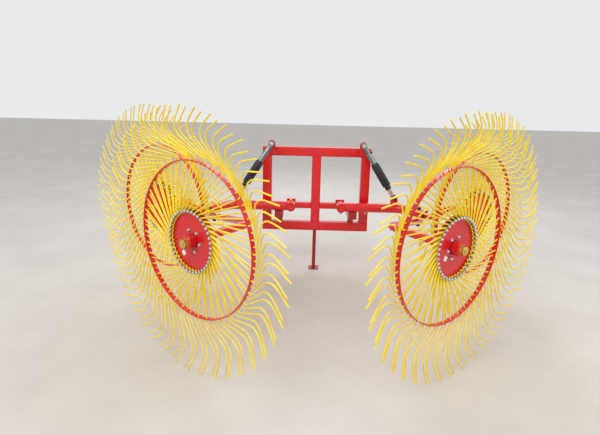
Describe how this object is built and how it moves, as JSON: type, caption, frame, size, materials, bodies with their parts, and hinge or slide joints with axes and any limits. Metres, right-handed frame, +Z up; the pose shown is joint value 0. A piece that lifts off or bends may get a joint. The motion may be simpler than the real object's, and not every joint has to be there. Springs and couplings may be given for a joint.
{
  "type": "mounted four-wheel hay rake",
  "caption": "Three-point mounted wheel rake: a rectangular hitch frame with a stand carries two lifting booms with spider wheels of hairpin tines set in a V.",
  "frame": {"origin": "centre of the foot of the whole machine's box, on the ground", "axes": "+Z up, +Y forward to the tractor, +X to the right seen from behind"},
  "size_m": [3.4092, 1.9802, 1.4077],
  "materials": {
    "red_paint": "gloss paint over welded steel",
    "yellow_paint": "gloss paint on spring wire",
    "zinc_steel": "bright zinc plate",
    "yellow_zinc": "yellow passivated zinc plate",
    "cylinder_steel": "honed tube, clear coat",
    "chrome": "hard chrome rod",
    "black_rubber": "moulded rubber"
  },
  "bodies": {
    "frame": {"frame_rails": "red_paint", "frame_uprights": "red_paint", "frame_cross_bars": "red_paint", "stand_guide": "red_paint", "boom_rests": "red_paint", "hitch_lugs": "red_paint", "hitch_pins": "zinc_steel", "boom_hinge_mounts": "red_paint", "cylinder_brackets": "red_paint"},
    "stand": {"stand_leg": "red_paint"},
    "boom_right_body": {"boom_right": "red_paint", "boom_end_bush_right": "black_rubber", "front_arm_right": "red_paint", "rear_arm_right": "red_paint", "arm_clamp_right": "zinc_steel", "wheel_axles_right": "red_paint", "axle_nuts_right": "yellow_zinc"},
    "cylinder_right_body": {"cylinder_barrel_right": "cylinder_steel", "cylinder_sleeve_right": "black_rubber"},
    "ram_right_body": {"cylinder_rod_right": "chrome", "cylinder_dust_tube_right": "black_rubber"},
    "front_wheel_right_body": {"front_wheel_tines_right": "yellow_paint", "front_wheel_hoop_right": "red_paint", "front_wheel_disc_right": "red_paint", "front_wheel_hub_right": "red_paint"},
    "rear_wheel_right_body": {"rear_wheel_tines_right": "yellow_paint", "rear_wheel_hoop_right": "red_paint", "rear_wheel_disc_right": "red_paint", "rear_wheel_hub_right": "red_paint"},
    "boom_left_body": {"boom_left": "red_paint", "boom_end_bush_left": "black_rubber", "front_arm_left": "red_paint", "rear_arm_left": "red_paint", "arm_clamp_left": "zinc_steel", "wheel_axles_left": "red_paint", "axle_nuts_left": "yellow_zinc"},
    "cylinder_left_body": {"cylinder_barrel_left": "cylinder_steel", "cylinder_sleeve_left": "black_rubber"},
    "ram_left_body": {"cylinder_rod_left": "chrome", "cylinder_dust_tube_left": "black_rubber"},
    "front_wheel_left_body": {"front_wheel_tines_left": "yellow_paint", "front_wheel_hoop_left": "red_paint", "front_wheel_disc_left": "red_paint", "front_wheel_hub_left": "red_paint"},
    "rear_wheel_left_body": {"rear_wheel_tines_left": "yellow_paint", "rear_wheel_hoop_left": "red_paint", "rear_wheel_disc_left": "red_paint", "rear_wheel_hub_left": "red_paint"}
  },
  "joints": [
    {"name": "boom_lift_right", "type": "hinge", "parent": "frame", "child": "boom_right_body", "pos_m": [0.207, 0.7316, 0.598], "axis": [0, -1, 0], "range_deg": [0, 12]},
    {"name": "cylinder_swing_right", "type": "hinge", "parent": "frame", "child": "cylinder_right_body", "pos_m": [0.37, 0.7316, 1.108], "axis": [0, -1, 0], "range_deg": [0, 3.73]},
    {"name": "ram_slide_right", "type": "slide", "parent": "cylinder_right_body", "child": "ram_right_body", "axis": [-0.5391, 0, 0.8423], "range_m": [0, 0.0905]},
    {"name": "front_wheel_spin_right", "type": "hinge", "parent": "boom_right_body", "child": "front_wheel_right_body", "pos_m": [1.085, 0.20309, 0.70387], "axis": [0.5821, -0.8131, 0], "continuous": true},
    {"name": "rear_wheel_spin_right", "type": "hinge", "parent": "boom_right_body", "child": "rear_wheel_right_body", "pos_m": [0.68007, -0.51111, 0.70387], "axis": [0.5821, -0.8131, 0], "continuous": true},
    {"name": "boom_lift_left", "type": "hinge", "parent": "frame", "child": "boom_left_body", "pos_m": [-0.207, 0.7316, 0.598], "axis": [0, 1, 0], "range_deg": [0, 12]},
    {"name": "cylinder_swing_left", "type": "hinge", "parent": "frame", "child": "cylinder_left_body", "pos_m": [-0.37, 0.7316, 1.108], "axis": [0, 1, 0], "range_deg": [0, 3.73]},
    {"name": "ram_slide_left", "type": "slide", "parent": "cylinder_left_body", "child": "ram_left_body", "axis": [0.5391, 0, 0.8423], "range_m": [0, 0.0905]},
    {"name": "front_wheel_spin_left", "type": "hinge", "parent": "boom_left_body", "child": "front_wheel_left_body", "pos_m": [-1.085, 0.20309, 0.70387], "axis": [-0.5821, -0.8131, 0], "continuous": true},
    {"name": "rear_wheel_spin_left", "type": "hinge", "parent": "boom_left_body", "child": "rear_wheel_left_body", "pos_m": [-0.68007, -0.51111, 0.70387], "axis": [-0.5821, -0.8131, 0], "continuous": true},
    {"name": "stand_slide", "type": "slide", "parent": "frame", "child": "stand", "axis": [0, 0, 1], "range_m": [0, 0.25]}
  ],
  "couplings": [
    {"joint": "cylinder_swing_right", "follows": "boom_lift_right", "ratio": 0.28546},
    {"joint": "ram_slide_right", "follows": "boom_lift_right", "m_per_rad": 0.42265},
    {"joint": "cylinder_swing_left", "follows": "boom_lift_left", "ratio": 0.28546},
    {"joint": "ram_slide_left", "follows": "boom_lift_left", "m_per_rad": 0.42265}
  ]
}
